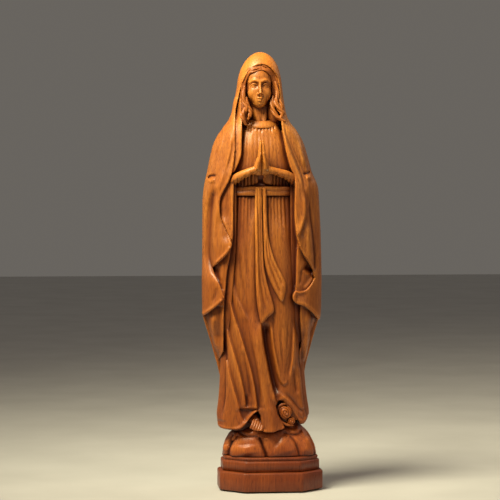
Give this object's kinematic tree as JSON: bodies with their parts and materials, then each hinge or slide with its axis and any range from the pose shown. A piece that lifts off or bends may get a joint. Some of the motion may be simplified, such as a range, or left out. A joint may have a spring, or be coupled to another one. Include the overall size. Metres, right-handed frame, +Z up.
{
  "type": "madonna statue",
  "caption": "Carved wooden devotional statue of a veiled standing woman with praying hands, on a rocky mound and a stepped octagonal plinth.",
  "frame": {"origin": "middle of the felt pad's underside, where the statue rests", "axes": "+Z up, the figure faces -Y, +X is the figure's own left"},
  "size_m": [0.0836, 0.0517, 0.3],
  "materials": {
    "beech_figure": "varnished carved beech, honey amber with fine vertical flecks, stained darker in the recesses",
    "beech_base": "varnished beech, the same grain, a little redder",
    "dowel_wood": "plain unvarnished birch dowel",
    "screw_steel": "zinc plated steel",
    "felt": "dark green pressed felt"
  },
  "bodies": {
    "root": {"felt_pad": "felt", "plinth_base": "beech_base", "plinth_top": "beech_base", "plinth_screw_left": "screw_steel", "plinth_screw_right": "screw_steel", "rock_mound": "beech_base", "figure_dowel_left": "dowel_wood", "figure_dowel_right": "dowel_wood", "tunic_skirt": "beech_figure", "foot_right": "beech_figure", "foot_rose": "beech_figure", "waist_belt": "beech_figure", "waist_dowel": "dowel_wood", "sash_long_tail": "beech_figure", "sash_short_tail": "beech_figure", "tunic_bodice": "beech_figure", "neckline_collar": "beech_figure", "neck_dowel": "dowel_wood", "sleeve_left": "beech_figure", "sleeve_right": "beech_figure", "wrist_pin_left": "dowel_wood", "wrist_pin_right": "dowel_wood", "hand_left": "beech_figure", "hand_right": "beech_figure", "head": "beech_figure", "hair_left": "beech_figure", "hair_right": "beech_figure", "mantle_left": "beech_figure", "mantle_right": "beech_figure", "mantle_back": "beech_figure", "veil": "beech_figure"}
  },
  "joints": []
}
